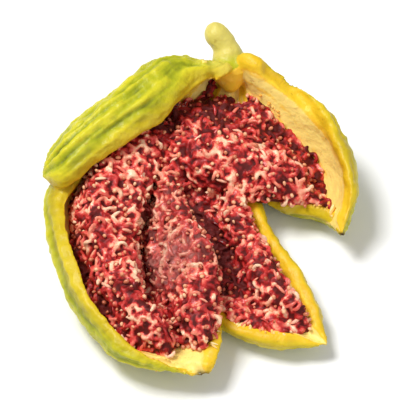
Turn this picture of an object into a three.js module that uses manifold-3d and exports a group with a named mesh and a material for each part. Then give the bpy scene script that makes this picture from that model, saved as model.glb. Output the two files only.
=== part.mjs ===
// A dried fig, slit open from the eye into four lobes that stay joined at the stem.
//
// Millimetres, +Z up. The fruit rests on the bellies of its lower lobes and the stem points
// away along +Y. Each lobe is a curled strip of rind with its pulp inside: a keel line runs
// down the middle of its outer skin, and a rim line runs down each side.
import * as THREE from 'three';
import { mergeVertices } from 'three/addons/utils/BufferGeometryUtils.js';
import Module from 'manifold-3d';

// ---- driving dimensions -------------------------------------------------------------------

const NECK = { centre: [5, 26.5, 15.5], axis: [0.02, -0.8, -0.6], radius: 4.2 };
const RIND = 2.4;             // thickness of the bare rind
const RIND_SHARE = 0.55;      // its most, as a share of the way from keel to rim
const SKIN_COLOUR = 0xa9a52e;
const ALONG = 30;             // steps from the neck to a tip
const AROUND = 26;            // steps round a lobe's section
const BELLY_CUT = 0.45;       // how much the bellies are flattened where they rest
const CURL_START = 0.3;       // share of a lobe's length over which its curl opens
const TURN_START = 0.22;      // share over which its keel turns away from the neck
const ROOT = 0.05;            // share over which it grows out of the neck
const PULP_SLOPE = { along: 0.3, across: 0.55 };  // share over which the pulp rises at its edges
const CREASE_WIDTH = 0.16;    // half width of the crease, as a share of a lobe's side

// fan: angles of the left rim, keel and right rim on the neck, in degrees.
// curl: how far the left and right sides turn up from the keel, in degrees.
// heart: the point that the open lobe faces away from.
// pulp: where the pulp lies, along and across the lobe, its height, and a crease down it.
const LOBES = {
  hood: {
    fan: [66, 130, 190], curl: [75, 80], heart: [-8, 4, 6], tip: [-26, 5, 11.2],
    keel: [[-5.5, 24, 19.8], [-10, 19.6, 20.4], [-14.7, 14.2, 20.2], [-19.8, 9.9, 18.6],
      [-24.4, 7.2, 15]],
    left: [[0.5, 20, 18.2], [-5.4, 12.2, 17.6], [-10.8, 8, 17], [-17, 3.6, 15.6],
      [-22.6, 0.6, 13.2]],
    right: [[-6.5, 25.5, 12], [-14, 20.5, 9.5], [-21, 14.5, 8.5], [-25.2, 9.5, 9]],
    pulp: { along: [0.1, 0.9], across: [-0.7, 0.7], height: 1.8, crease: 0, creaseDepth: 0 },
  },
  bowl: {
    fan: [190, 230, 265], curl: [128, 70], heart: [-9, -10, 32], tip: [0.9, -31.4, 4.9],
    keel: [[-2.5, 21, 6], [-7.5, 11, 2], [-12, -2, 0], [-12.3, -13, 0], [-9, -22.5, 2],
      [-3.5, -28.8, 4.2]],
    left: [[-6.5, 20, 11.5], [-15, 11, 12.2], [-21.4, 1.4, 12.4], [-21.8, -6.5, 12.8],
      [-19.6, -13.2, 13], [-16.6, -18.8, 12.6], [-13, -23.4, 11.8], [-9.2, -27, 10.3],
      [-4.8, -29.6, 8]],
    right: [[1, 19, 7], [-2, 9, 5], [-1.5, 1, 5], [0.8, -5.5, 5.5], [3, -11.5, 6], [3.9, -18, 6.3],
      [4.2, -24, 6.2], [3.2, -28.8, 5.8]],
    pulp: { along: [0.05, 0.93], across: [-0.7, 0.95], height: 7.2, crease: 0.2, creaseDepth: 3.8 },
  },
  tongue: {
    fan: [265, 290, 310], curl: [70, 70], heart: [10, -10, 34], tip: [20.6, -24.6, 4.2],
    keel: [[6, 20, 7], [5, 11, 3], [6, 2, 1], [8.5, -7, 0], [11.5, -15, 0.5], [16.5, -21.5, 2]],
    left: [[0, 19, 6], [-2, 9, 3.8], [-2.6, 1, 3.2], [-1.2, -6, 3], [0.8, -13, 3.2],
      [1.8, -19.5, 3.8], [6, -23.6, 4.2], [13, -25.2, 4.3]],
    right: [[9, 18, 9], [9, 10, 6.5], [10.8, 2.7, 6.2], [13.3, -3.7, 6], [16.4, -9.5, 6],
      [18.5, -13.8, 5.6], [20, -18.5, 5.1]],
    pulp: { along: [0.05, 0.93], across: [-0.9, 0.75], height: 5.4, crease: 0, creaseDepth: 0 },
  },
  dish: {
    fan: [-50, 20, 80], curl: [70, 95], heart: [2, 1, 30], tip: [23.4, -4.6, 7.4],
    keel: [[12, 21.5, 11], [15, 17.5, 5], [18, 12.5, 1], [20.8, 6, 0.5], [22.8, 0, 3.2]],
    left: [[8.5, 18, 7.5], [8.5, 11, 6], [10, 5, 5.6], [13, 2.4, 5.6], [17, 2.1, 5.6],
      [21, 0.1, 6.2]],
    right: [[8.8, 25.6, 19], [13.4, 23.4, 17.6], [17.6, 20.8, 16], [21.5, 16.6, 14.8],
      [24.2, 9.4, 13.8], [25.6, 3.8, 12.5], [25.5, 0.6, 11], [24.5, -2, 9.4]],
    pulp: { along: [0.05, 0.9], across: [-1, 0.4], height: 5.4, crease: 0, creaseDepth: 0 },
  },
};

// Pulp that fills the middle, where the lobes meet below the neck.
const HEART = { centre: [1, 14.5, 10], radii: [12, 9.5, 4.6] };

// The cut stem: its line from inside the neck to its end, and its radii.
const STEM = {
  line: [[5.3, 22.5, 12.5], [5, 26.3, 15.5], [4.3, 28.4, 17.6], [2.9, 29.6, 19.2], [1.2, 29.9, 20.4]],
  neckRadius: 4.3, endRadius: 2.05, steps: 14, sides: 16,
};

// ---- small helpers ------------------------------------------------------------------------

const vector = ([x, y, z]) => new THREE.Vector3(x, y, z);
const line = (points) => new THREE.CatmullRomCurve3(points, false, 'catmullrom', 0.5);
const smooth = (x) => THREE.MathUtils.smoothstep(x, 0, 1);
const radians = THREE.MathUtils.degToRad;

// Rises from 0 to 1 inside a range, over a slope at each end of it.
const plateau = (x, [from, to], slope) => smooth((x - from) / slope) * smooth((to - x) / slope);

// Unit vectors of the neck: sideways, and towards the upper side.
const neckCentre = vector(NECK.centre);
const neckAxis = vector(NECK.axis).normalize();
const neckSide = new THREE.Vector3(0, 0, 1).cross(neckAxis).normalize();
const neckUp = new THREE.Vector3().crossVectors(neckAxis, neckSide).normalize();

function neckRadial(degrees) {
  const angle = radians(degrees);
  return new THREE.Vector3()
    .addScaledVector(neckSide, Math.cos(angle))
    .addScaledVector(neckUp, Math.sin(angle));
}

const neckPoint = (degrees) => neckCentre.clone().addScaledVector(neckRadial(degrees), NECK.radius);

// ---- lobes --------------------------------------------------------------------------------

class Lobe {
  constructor({ fan, curl, heart, tip, keel, left, right, pulp }) {
    const fromNeck = (angle, points) => line([neckPoint(angle), ...points.map(vector), vector(tip)]);
    this.left = fromNeck(fan[0], left);
    this.keel = fromNeck(fan[1], keel);
    this.right = fromNeck(fan[2], right);
    this.radial = neckRadial(fan[1]);
    this.heart = vector(heart);
    this.neckCurl = [radians(fan[1] - fan[0]), radians(fan[2] - fan[1])];
    this.curl = curl.map(radians);
    this.pulp = pulp;
  }

  // The keel point at a share of the length, with the directions along, outwards and across.
  frame(along) {
    const keel = this.keel.getPointAt(along);
    const tangent = this.keel.getTangentAt(along);
    const turn = smooth(along / TURN_START);
    const away = keel.clone().sub(this.heart).normalize();
    const outward = this.radial.clone().lerp(away, turn);
    outward.addScaledVector(tangent, -outward.dot(tangent)).normalize();
    return { keel, tangent, outward, across: new THREE.Vector3().crossVectors(tangent, outward) };
  }

  // A point of the lobe, across from -1 at the left rim to 1 at the right, and from the outer
  // skin at depth 0 to the top of the pulp at depth 1. Each side is an arc of an ellipse from
  // the keel to its rim. The rind is measured square to the skin, and the pulp lies on it.
  point(along, across, depth) {
    const { keel, tangent, outward, across: side } = this.frame(along);
    const right = across > 0 ? 1 : 0;
    const sign = right ? 1 : -1;
    const rim = (right ? this.right : this.left).getPointAt(along).sub(keel);
    const curl = THREE.MathUtils.lerp(this.neckCurl[right], this.curl[right], smooth(along / CURL_START));
    const reach = sign * rim.dot(side) / Math.sin(curl);
    const rise = -rim.dot(outward) / (1 - Math.cos(curl));
    const angle = Math.abs(across) * curl;
    const normal = side.clone().multiplyScalar(sign * rise * Math.sin(angle))
      .addScaledVector(outward, reach * Math.cos(angle));
    if (normal.lengthSq() < 1e-9) normal.copy(outward);
    const ends = Math.sqrt(Math.max(0, 1 - (2 * along - 1) ** 12));
    const rind = ends * Math.min(RIND, RIND_SHARE * rim.length());
    return keel.clone()
      .addScaledVector(side, sign * reach * Math.sin(angle))
      .addScaledVector(outward, -rise * (1 - Math.cos(angle)))
      .addScaledVector(tangent, rim.dot(tangent) * across * across)
      .addScaledVector(normal.normalize(), -depth * rind)
      .addScaledVector(outward, -depth * ends * this.pulpHeight(along, across));
  }

  pulpHeight(along, across) {
    const { height, crease, creaseDepth } = this.pulp;
    const mound = height * plateau(along, this.pulp.along, PULP_SLOPE.along)
      * plateau(across, this.pulp.across, PULP_SLOPE.across);
    const valley = creaseDepth * Math.exp(-(((across - crease) / CREASE_WIDTH) ** 2));
    return Math.max(0, mound - valley);
  }

  // A sphere whose first pole goes to the neck and last pole to the tip. The outer half of
  // each ring lies on the skin, and the inner half on the pulp.
  geometry() {
    const shape = new THREE.SphereGeometry(1, AROUND, ALONG);
    const position = shape.attributes.position;
    for (let i = 0; i < position.count; i += 1) {
      const row = Math.floor(i / (AROUND + 1));
      const along = (1 - Math.cos(Math.PI * row / ALONG)) / 2;
      const turn = 2 * Math.PI * (i % (AROUND + 1)) / AROUND;
      const pole = row === 0 || row === ALONG;
      const across = pole ? 0 : Math.cos(turn);
      const depth = 0.5 - 0.5 * THREE.MathUtils.clamp(1.7 * Math.sin(turn), -1, 1);
      const p = this.point(along, across, depth);
      p.lerpVectors(neckCentre, p, smooth(along / ROOT));
      position.setXYZ(i, p.x, p.y, p.z);
    }
    return shape;
  }
}

// ---- pulp heart and stem ------------------------------------------------------------------

function heartGeometry() {
  const shape = new THREE.SphereGeometry(1, 20, 12);
  return shape.scale(...HEART.radii).translate(...HEART.centre);
}

// A sphere drawn out along the stem's line, with a round end.
function stemGeometry() {
  const { steps, sides, neckRadius, endRadius } = STEM;
  const path = line(STEM.line.map(vector));
  const frames = path.computeFrenetFrames(steps, false);
  const shape = new THREE.SphereGeometry(1, sides, steps);
  const position = shape.attributes.position;
  for (let i = 0; i < position.count; i += 1) {
    const row = Math.floor(i / (sides + 1));
    const turn = 2 * Math.PI * (i % (sides + 1)) / sides;
    const along = row / steps;
    const taper = THREE.MathUtils.lerp(neckRadius, endRadius, smooth(along / 0.7));
    const radius = taper * Math.sqrt(Math.max(0, 1 - (2 * along - 1) ** 8));
    const p = path.getPointAt(along)
      .addScaledVector(frames.normals[row], radius * Math.cos(turn))
      .addScaledVector(frames.binormals[row], radius * Math.sin(turn));
    position.setXYZ(i, p.x, p.y, p.z);
  }
  return shape;
}

// ---- joining ------------------------------------------------------------------------------

const wasm = await Module();
wasm.setup();

function solid(geometry) {
  geometry.deleteAttribute('normal');
  geometry.deleteAttribute('uv');
  const closed = mergeVertices(geometry, 1e-4);
  const made = new wasm.Manifold(new wasm.Mesh({
    numProp: 3,
    vertProperties: new Float32Array(closed.attributes.position.array),
    triVerts: new Uint32Array(closed.index.array),
  }));
  return made.volume() < 0 ? flipped(closed) : made;
}

function flipped(geometry) {
  const index = geometry.index.array;
  for (let i = 0; i < index.length; i += 3) {
    [index[i], index[i + 1]] = [index[i + 1], index[i]];
  }
  return new wasm.Manifold(new wasm.Mesh({
    numProp: 3,
    vertProperties: new Float32Array(geometry.attributes.position.array),
    triVerts: new Uint32Array(index),
  }));
}

function toGeometry(manifold) {
  const mesh = manifold.getMesh();
  const geometry = new THREE.BufferGeometry();
  geometry.setAttribute('position', new THREE.BufferAttribute(new Float32Array(mesh.vertProperties), 3));
  geometry.setIndex(new THREE.BufferAttribute(new Uint32Array(mesh.triVerts), 1));
  return geometry;
}

// Where two skins only graze each other the join can leave a loose crumb, which is dropped.
function largest(manifold) {
  return manifold.decompose().reduce((a, b) => (b.volume() > a.volume() ? b : a));
}

function figGeometry() {
  const pieces = [...Object.values(LOBES).map((sizes) => new Lobe(sizes).geometry()),
    heartGeometry(), stemGeometry()];
  const whole = pieces.map(solid).reduce((sum, piece) => sum.add(piece));
  const above = new THREE.BoxGeometry(200, 200, 100).translate(0, 0, 50 + BELLY_CUT);
  const geometry = toGeometry(largest(whole.intersect(solid(above))));
  geometry.computeBoundingBox();
  const { min, max } = geometry.boundingBox;
  geometry.translate(-(min.x + max.x) / 2, -(min.y + max.y) / 2, -min.z);
  geometry.computeVertexNormals();
  return geometry;
}

// ---- the part -----------------------------------------------------------------------------

const group = new THREE.Group();
const skin = new THREE.MeshStandardMaterial({ color: SKIN_COLOUR, roughness: 0.5, metalness: 0 });
const fig = new THREE.Mesh(figGeometry(), skin);
fig.name = 'dried_fig';
group.add(fig);

export default group;
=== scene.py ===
"""A dried fig, slit open from the eye into four curled lobes that stay joined at the stem.

The rind is one fused skin with ribs and wrinkles, the pulp is one lumpy mass that lines it, and
thousands of drupelets, seeds and strands stand out of the pulp. The fruit is modelled in
millimetres, in its own frame, and each finished mesh is then placed in metres.
"""
import logging
import math
import random
from collections.abc import Callable, Sequence
from dataclasses import dataclass
from enum import Enum
from typing import ClassVar

import bmesh
import bpy
import numpy as np
from mathutils import Matrix, Vector, noise
from mathutils.bvhtree import BVHTree
from mathutils.kdtree import KDTree


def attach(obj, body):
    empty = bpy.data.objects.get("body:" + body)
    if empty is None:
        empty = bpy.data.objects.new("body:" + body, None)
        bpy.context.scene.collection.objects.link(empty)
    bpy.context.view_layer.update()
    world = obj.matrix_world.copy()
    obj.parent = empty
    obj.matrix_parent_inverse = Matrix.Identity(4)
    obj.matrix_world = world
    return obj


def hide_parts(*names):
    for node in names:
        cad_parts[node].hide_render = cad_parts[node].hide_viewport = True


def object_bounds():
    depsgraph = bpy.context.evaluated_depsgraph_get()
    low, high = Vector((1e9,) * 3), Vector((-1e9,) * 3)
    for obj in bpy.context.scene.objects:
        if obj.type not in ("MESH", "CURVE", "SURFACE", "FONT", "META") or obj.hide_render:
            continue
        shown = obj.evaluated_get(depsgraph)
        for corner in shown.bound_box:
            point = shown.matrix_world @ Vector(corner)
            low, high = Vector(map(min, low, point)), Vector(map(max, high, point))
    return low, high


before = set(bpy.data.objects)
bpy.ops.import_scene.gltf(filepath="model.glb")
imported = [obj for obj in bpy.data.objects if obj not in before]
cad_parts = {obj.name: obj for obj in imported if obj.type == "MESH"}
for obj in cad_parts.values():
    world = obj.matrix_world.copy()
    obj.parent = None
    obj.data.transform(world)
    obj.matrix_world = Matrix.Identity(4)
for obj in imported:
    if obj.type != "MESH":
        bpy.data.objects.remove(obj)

CAD_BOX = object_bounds()
MM = 0.001
BODY = "root"
CAD_NODE = "dried_fig"
BELLY = 0.45   # height of the flat underside in the fruit's own frame, millimetres
SHIFT = (-0.05, -0.10, -BELLY)   # from the fruit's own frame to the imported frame, millimetres

Point = tuple[float, float, float]
Colour = tuple[float, float, float, float]

log = logging.getLogger("dried_fig")


# ---- shape helpers --------------------------------------------------------------------------

def smooth(x: np.ndarray | float) -> np.ndarray:
    """Rises smoothly from 0 to 1 as x goes from 0 to 1."""
    x = np.clip(x, 0.0, 1.0)
    return x * x * (3.0 - 2.0 * x)


def unit(vectors: np.ndarray) -> np.ndarray:
    """Scales each row to length one."""
    return vectors / np.maximum(np.linalg.norm(vectors, axis=-1, keepdims=True), 1e-12)


def dot(a: np.ndarray, b: np.ndarray) -> np.ndarray:
    """The row by row dot product, as a column."""
    return np.sum(a * b, axis=-1, keepdims=True)


class Spline:
    """A smooth line through points, read by the share of its length."""

    STEPS = 400

    def __init__(self, points: Sequence[Point]) -> None:
        """Lays the line.

        Args:
            points: What the line passes through, in millimetres.
        """
        knots = np.array(points, float)
        ends = np.vstack([2 * knots[0] - knots[1], knots, 2 * knots[-1] - knots[-2]])
        time = np.linspace(0.0, len(knots) - 1.0, self.STEPS)
        first = np.minimum(time.astype(int), len(knots) - 2)
        part = (time - first)[:, None]
        a, b, c, d = (ends[first + k] for k in range(4))
        self.places = 0.5 * (2 * b + (c - a) * part + (2 * a - 5 * b + 4 * c - d) * part ** 2
                             + (3 * b - 3 * c + d - a) * part ** 3)
        steps = np.linalg.norm(np.diff(self.places, axis=0), axis=1)
        self.length = float(steps.sum())
        self.shares = np.concatenate([[0.0], np.cumsum(steps)]) / self.length

    def at(self, share: np.ndarray) -> np.ndarray:
        """The points at these shares of the length."""
        return np.stack([np.interp(share, self.shares, self.places[:, k]) for k in range(3)], -1)

    def direction(self, share: np.ndarray) -> np.ndarray:
        """The unit directions of the line at these shares of the length."""
        step = 0.004
        return unit(self.at(np.minimum(share + step, 1)) - self.at(np.maximum(share - step, 0)))


# ---- the fruit's own sizes ------------------------------------------------------------------

@dataclass(frozen=True)
class Neck:
    """The ring below the stem where the lobes meet, in millimetres."""

    centre: Point = (5.0, 26.5, 15.5)
    axis: Point = (0.02, -0.8, -0.6)
    radius: float = 4.2

    def radial(self, degrees: float) -> np.ndarray:
        """Finds a direction out of the neck.

        Args:
            degrees: The angle round the neck.

        Returns:
            The unit direction.
        """
        axis = unit(np.array(self.axis))
        side = unit(np.cross((0.0, 0.0, 1.0), axis))
        up = unit(np.cross(axis, side))
        angle = math.radians(degrees)
        return side * math.cos(angle) + up * math.sin(angle)

    def point(self, degrees: float) -> Point:
        """The point of the ring at an angle round it."""
        return tuple(np.array(self.centre) + self.radius * self.radial(degrees))


@dataclass(frozen=True)
class Mound:
    """One swelling of pulp on a lobe: its reach as shares of the lobe, and its height.

    The height is in millimetres, above the inner side of the rind.
    """

    along: tuple[float, float]
    across: tuple[float, float]
    height: float
    skew: float = 0.0   # how far the far end moves across, as a share


@dataclass(frozen=True)
class LobeSizes:
    """One lobe: its lines in millimetres, and its angles in degrees.

    fan holds the angles of the left rim, keel and right rim on the neck, curl how far each
    side turns up from the keel, and heart the point that the open lobe faces away from.
    fringe says where the pulp meets the rind on each side, as shares of the width.
    """

    name: str
    fan: tuple[float, float, float]
    curl: tuple[float, float]
    heart: Point
    tip: Point
    keel: tuple[Point, ...]
    left: tuple[Point, ...]
    right: tuple[Point, ...]
    mounds: tuple[Mound, ...]
    fringe: tuple[float, float]


HOOD = LobeSizes(
    "hood", fan=(66, 130, 190), curl=(75, 80), heart=(-8, 4, 6), tip=(-26, 5.0, 11.2),
    keel=((-5.5, 24.0, 19.8), (-10, 19.6, 20.4), (-14.7, 14.2, 20.2), (-19.8, 9.9, 18.6),
          (-24.4, 7.2, 15)),
    left=((0.5, 20.0, 18.2), (-5.4, 12.2, 17.6), (-10.8, 8.0, 17), (-17, 3.6, 15.6),
          (-22.6, 0.6, 13.2)),
    right=((-6.5, 25.5, 12), (-14, 20.5, 9.5), (-21.0, 14.5, 8.5), (-25.2, 9.5, 9)),
    mounds=(Mound(along=(0.1, 0.9), across=(-0.7, 0.7), height=2.4),), fringe=(-0.8, 0.8))

BOWL = LobeSizes(
    "bowl", fan=(190, 230, 265), curl=(131, 70), heart=(-9, -10, 32), tip=(0.9, -31.4, 4.9),
    keel=((-2.5, 21, 6), (-7.5, 11, 2), (-12, -2, 0), (-13.1, -14, 0), (-10.6, -23.6, 1.7),
          (-3.7, -29.0, 4.0)),
    left=((-6.5, 20, 11.5), (-15, 11, 12.2), (-21.4, 1.4, 12.4), (-21.8, -6.5, 12.8),
          (-20.1, -13.7, 12.8), (-17.9, -19.9, 11.9), (-14.4, -24.6, 10.9), (-10.3, -28.1, 9.3),
          (-5.2, -30.1, 7.4)),
    right=((1, 19, 7), (-2, 9, 5), (-1.5, 1, 5), (0.8, -5.5, 5.5), (3, -11.5, 6), (3.9, -18, 6.3),
           (4.2, -24, 6.2), (3.2, -28.8, 5.8)),
    mounds=(Mound(along=(0.14, 0.92), across=(-0.34, 0.13), height=9.0, skew=0.14),
            Mound(along=(0.24, 0.925), across=(0.28, 1.05), height=7.4, skew=0.06),
            Mound(along=(0.02, 0.9), across=(-0.42, 0.95), height=1.2)),
    fringe=(-0.86, 0.95))

TONGUE = LobeSizes(
    "tongue", fan=(265, 290, 310), curl=(70, 70), heart=(10, -10, 34), tip=(20.6, -24.6, 4.2),
    keel=((6, 20, 7), (5, 11, 3), (6, 2, 1), (8.5, -7, 0), (11.5, -15, 0.5), (16.5, -21.5, 2)),
    left=((0, 19, 6), (-2, 9, 3.8), (-2.6, 1, 3.2), (-1.2, -6, 3.0), (0.8, -13, 3.2),
          (1.8, -19.5, 3.8), (6.0, -23.6, 4.2), (13, -25.2, 4.3)),
    right=((9, 18, 9), (9, 10, 6.5), (10.8, 2.7, 6.2), (13.3, -3.7, 6), (16.4, -9.5, 6),
           (18.5, -13.8, 5.6), (20, -18.5, 5.1)),
    mounds=(Mound(along=(0.25, 0.945), across=(-0.3, 0.52), height=6.0),
            Mound(along=(0.1, 0.93), across=(-0.95, 0.3), height=1.8)),
    fringe=(-0.9, 0.56))

DISH = LobeSizes(
    "dish", fan=(-50, 20, 80), curl=(70, 95), heart=(2, 1, 30), tip=(23.4, -4.6, 7.4),
    keel=((12, 21.5, 11), (15, 17.5, 5), (18, 12.5, 1), (20.8, 6, 0.5), (22.8, 0, 3.2)),
    left=((8.5, 18, 7.5), (8.5, 11, 6), (10, 5, 5.6), (13, 2.4, 5.6), (17, 2.1, 5.6), (21, 0.1, 6.2)),
    right=((8.8, 25.6, 19), (13.4, 23.4, 17.6), (17.6, 20.8, 16), (21.5, 16.6, 14.8),
           (24.2, 9.4, 13.8), (25.6, 3.8, 12.5), (25.5, 0.6, 11), (24.5, -2, 9.4)),
    mounds=(Mound(along=(0.16, 0.89), across=(-1.12, 0.14), height=6.2),
            Mound(along=(0.12, 0.87), across=(-0.9, 0.26), height=2.2)),
    fringe=(-1.0, 0.24))


class Lobe:
    """A curled strip of rind with pulp on its inner side."""

    RIND = 2.4          # thickness of the bare rind
    RIND_SHARE = 0.55   # its most, as a share of the way from keel to rim
    CURL_START = 0.3    # share of the length over which the curl opens
    TURN_START = 0.22   # share over which the keel turns away from the neck
    ROOT = 0.05         # share over which the lobe grows out of the neck

    def __init__(self, sizes: LobeSizes, neck: Neck) -> None:
        """Lays the keel and rims.

        Args:
            sizes: The lobe's lines and angles.
            neck: The ring that the lobe grows from.
        """
        self.sizes = sizes
        self.neck_centre = np.array(neck.centre)
        left, keel, right = (Spline((neck.point(angle), *points, sizes.tip)) for angle, points
                             in zip(sizes.fan, (sizes.left, sizes.keel, sizes.right)))
        self.left, self.keel, self.right = left, keel, right
        self.radial = neck.radial(sizes.fan[1])

    def surface(self, along: np.ndarray, across: np.ndarray, depth: np.ndarray,
                lift: np.ndarray | float = 0.0) -> np.ndarray:
        """Points of the lobe.

        Args:
            along: Shares of the length, from 0 at the neck to 1 at the tip.
            across: From -1 at the left rim to 1 at the right rim.
            depth: Shares of the rind's thickness, 0 on the outer skin.
            lift: Height above that, towards the inside, in millimetres.

        Returns:
            The points, one a row, in millimetres.
        """
        column = np.asarray(along, float)[:, None]
        keel, tangent = self.keel.at(along), self.keel.direction(along)
        turn = smooth(column / self.TURN_START)
        outward = self.radial * (1 - turn) + unit(keel - np.array(self.sizes.heart, float)) * turn
        outward = unit(outward - dot(outward, tangent) * tangent)
        side = np.cross(tangent, outward)
        is_right = (across > 0)[:, None]
        sign = np.where(is_right, 1.0, -1.0)
        rim = np.where(is_right, self.right.at(along), self.left.at(along)) - keel
        fan, curl = self.sizes.fan, self.sizes.curl
        start = np.radians(np.where(is_right, fan[2] - fan[1], fan[1] - fan[0]))
        end = np.radians(np.where(is_right, curl[1], curl[0]))
        opened = start + (end - start) * smooth(column / self.CURL_START)
        reach = sign * dot(rim, side) / np.sin(opened)
        rise = -dot(rim, outward) / (1 - np.cos(opened))
        angle = np.abs(across)[:, None] * opened
        normal = unit(side * sign * rise * np.sin(angle) + outward * reach * np.cos(angle)
                      + outward * 1e-6)
        ends = np.sqrt(np.maximum(0.0, 1 - (2 * column - 1) ** 12))
        rind = ends * np.minimum(self.RIND, self.RIND_SHARE * np.linalg.norm(rim, axis=1)[:, None])
        points = (keel + side * sign * reach * np.sin(angle) - outward * rise * (1 - np.cos(angle))
                  + tangent * dot(rim, tangent) * across[:, None] ** 2
                  - normal * rind * np.asarray(depth, float).reshape(-1, 1)
                  - outward * ends * np.asarray(lift, float).reshape(-1, 1))
        return self.neck_centre + (points - self.neck_centre) * smooth(column / self.ROOT)


# ---- mesh helpers ---------------------------------------------------------------------------

def coordinates(mesh: bpy.types.Mesh, normals: bool = False) -> np.ndarray:
    """Reads a mesh's vertices.

    Args:
        mesh: The mesh.
        normals: Whether their normals are wanted, not their places.

    Returns:
        The places or normals, one a row.
    """
    flat = np.empty(len(mesh.vertices) * 3)
    if normals:
        mesh.vertex_normals.foreach_get("vector", flat)
    else:
        mesh.vertices.foreach_get("co", flat)
    return flat.reshape(-1, 3)


def set_coordinates(mesh: bpy.types.Mesh, places: np.ndarray) -> None:
    """Moves a mesh's vertices to these places."""
    mesh.vertices.foreach_set("co", np.ascontiguousarray(places, np.float32).ravel())
    mesh.update()


def store(mesh: bpy.types.Mesh, name: str, values: np.ndarray) -> None:
    """Keeps one number for each vertex as a named attribute."""
    attribute = mesh.attributes.new(name, "FLOAT", "POINT")
    attribute.data.foreach_set("value", np.ascontiguousarray(values, np.float32))


def read(mesh: bpy.types.Mesh, name: str) -> np.ndarray:
    """Reads one of the mesh's named numbers.

    Args:
        mesh: The mesh.
        name: The attribute's name.

    Returns:
        One value for each vertex.
    """
    values = np.empty(len(mesh.vertices))
    mesh.attributes[name].data.foreach_get("value", values)
    return values


def nearest(points: np.ndarray, places: np.ndarray, values: np.ndarray) -> np.ndarray:
    """Takes each point's value from the places round it.

    Args:
        points: Where values are wanted.
        places: Where they are known.
        values: The known values.

    Returns:
        The mean of the three nearest values at each point.
    """
    tree = KDTree(len(places))
    for index, place in enumerate(places):
        tree.insert(place, index)
    tree.balance()
    return np.array([values[[i for _, i, _ in tree.find_n(point, 3)]].mean() for point in points])


def grain(places: np.ndarray, scale: Sequence[float], seed: float = 0.0) -> np.ndarray:
    """Smooth noise from -1 to 1 at each place.

    Args:
        places: The places, one a row.
        scale: The size of a grain along each axis.
        seed: Moves the pattern.

    Returns:
        One value for each place.
    """
    scaled = places / np.array(scale, float) + seed
    return np.fromiter((noise.noise(Vector(row)) for row in scaled), float, len(scaled))


def ball(segments: int, rings: int) -> tuple[bmesh.types.BMesh, np.ndarray, np.ndarray]:
    """A sphere ready to be drawn out, with its places as shares.

    Args:
        segments: Faces round it.
        rings: Faces from pole to pole.

    Returns:
        The bmesh, each vertex's share from the first pole to the last, and its angle round.
    """
    shape = bmesh.new()
    bmesh.ops.create_uvsphere(shape, u_segments=segments, v_segments=rings, radius=1.0)
    places = np.array([vertex.co for vertex in shape.verts])
    return shape, (1 - places[:, 2]) / 2, np.arctan2(places[:, 1], places[:, 0])


def move(shape: bmesh.types.BMesh, places: np.ndarray) -> None:
    """Moves a bmesh's vertices to these places."""
    for vertex, place in zip(shape.verts, places):
        vertex.co = place


def gather(shapes: Sequence[bmesh.types.BMesh], name: str, swell: float = 0.0) -> bpy.types.Mesh:
    """Puts several closed shapes into one mesh, and frees them.

    Args:
        shapes: The closed shapes.
        name: The mesh's name.
        swell: How far each is swollen, in millimetres, so that no edge is knife-thin.

    Returns:
        The mesh.
    """
    whole = bmesh.new()
    for shape in shapes:
        bmesh.ops.recalc_face_normals(shape, faces=shape.faces)
        shape.normal_update()
        for vertex in shape.verts:
            vertex.co += vertex.normal * swell
        part = bpy.data.meshes.new(name + "_part")
        shape.to_mesh(part)
        shape.free()
        whole.from_mesh(part)
        bpy.data.meshes.remove(part)
    mesh = bpy.data.meshes.new(name)
    whole.to_mesh(mesh)
    whole.free()
    return mesh


def soften(mesh: bpy.types.Mesh, rounds: int) -> None:
    """Smooths a mesh.

    Args:
        mesh: The mesh, which is changed.
        rounds: How often its vertices are smoothed.
    """
    shape = bmesh.new()
    shape.from_mesh(mesh)
    for _ in range(rounds):
        bmesh.ops.smooth_vert(shape, verts=shape.verts, factor=0.5, use_axis_x=True,
                              use_axis_y=True, use_axis_z=True)
    shape.to_mesh(mesh)
    shape.free()


def modified(mesh: bpy.types.Mesh, kind: str, **settings: object) -> bpy.types.Mesh:
    """Puts a mesh through one modifier.

    Args:
        mesh: The mesh.
        kind: The modifier's type.
        settings: The modifier's settings.

    Returns:
        The modified mesh.
    """
    holder = bpy.data.objects.new(mesh.name + "_blank", mesh)
    bpy.context.scene.collection.objects.link(holder)
    modifier = holder.modifiers.new(kind.lower(), kind)
    for name, value in settings.items():
        setattr(modifier, name, value)
    evaluated = holder.evaluated_get(bpy.context.evaluated_depsgraph_get())
    result = bpy.data.meshes.new_from_object(evaluated)
    bpy.data.objects.remove(holder)
    return result


def fuse(mesh: bpy.types.Mesh, name: str, voxel: float, rounds: int) -> bpy.types.Mesh:
    """Joins overlapping closed shapes into one skin.

    Args:
        mesh: The shapes.
        name: The new mesh's name.
        voxel: Face size of the new skin, in millimetres.
        rounds: How often it is smoothed.

    Returns:
        The fused mesh.
    """
    fused = modified(mesh, "REMESH", mode="VOXEL", voxel_size=voxel)
    soften(fused, rounds)
    fused.name = name
    return fused


def thin(mesh: bpy.types.Mesh, most: int) -> bpy.types.Mesh:
    """Takes faces away where a mesh is flattest.

    Args:
        mesh: The mesh.
        most: How many triangles it may have.

    Returns:
        The lighter mesh.
    """
    triangles = sum(len(face.vertices) - 2 for face in mesh.polygons)
    return modified(mesh, "DECIMATE", ratio=min(1.0, most / triangles))


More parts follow.
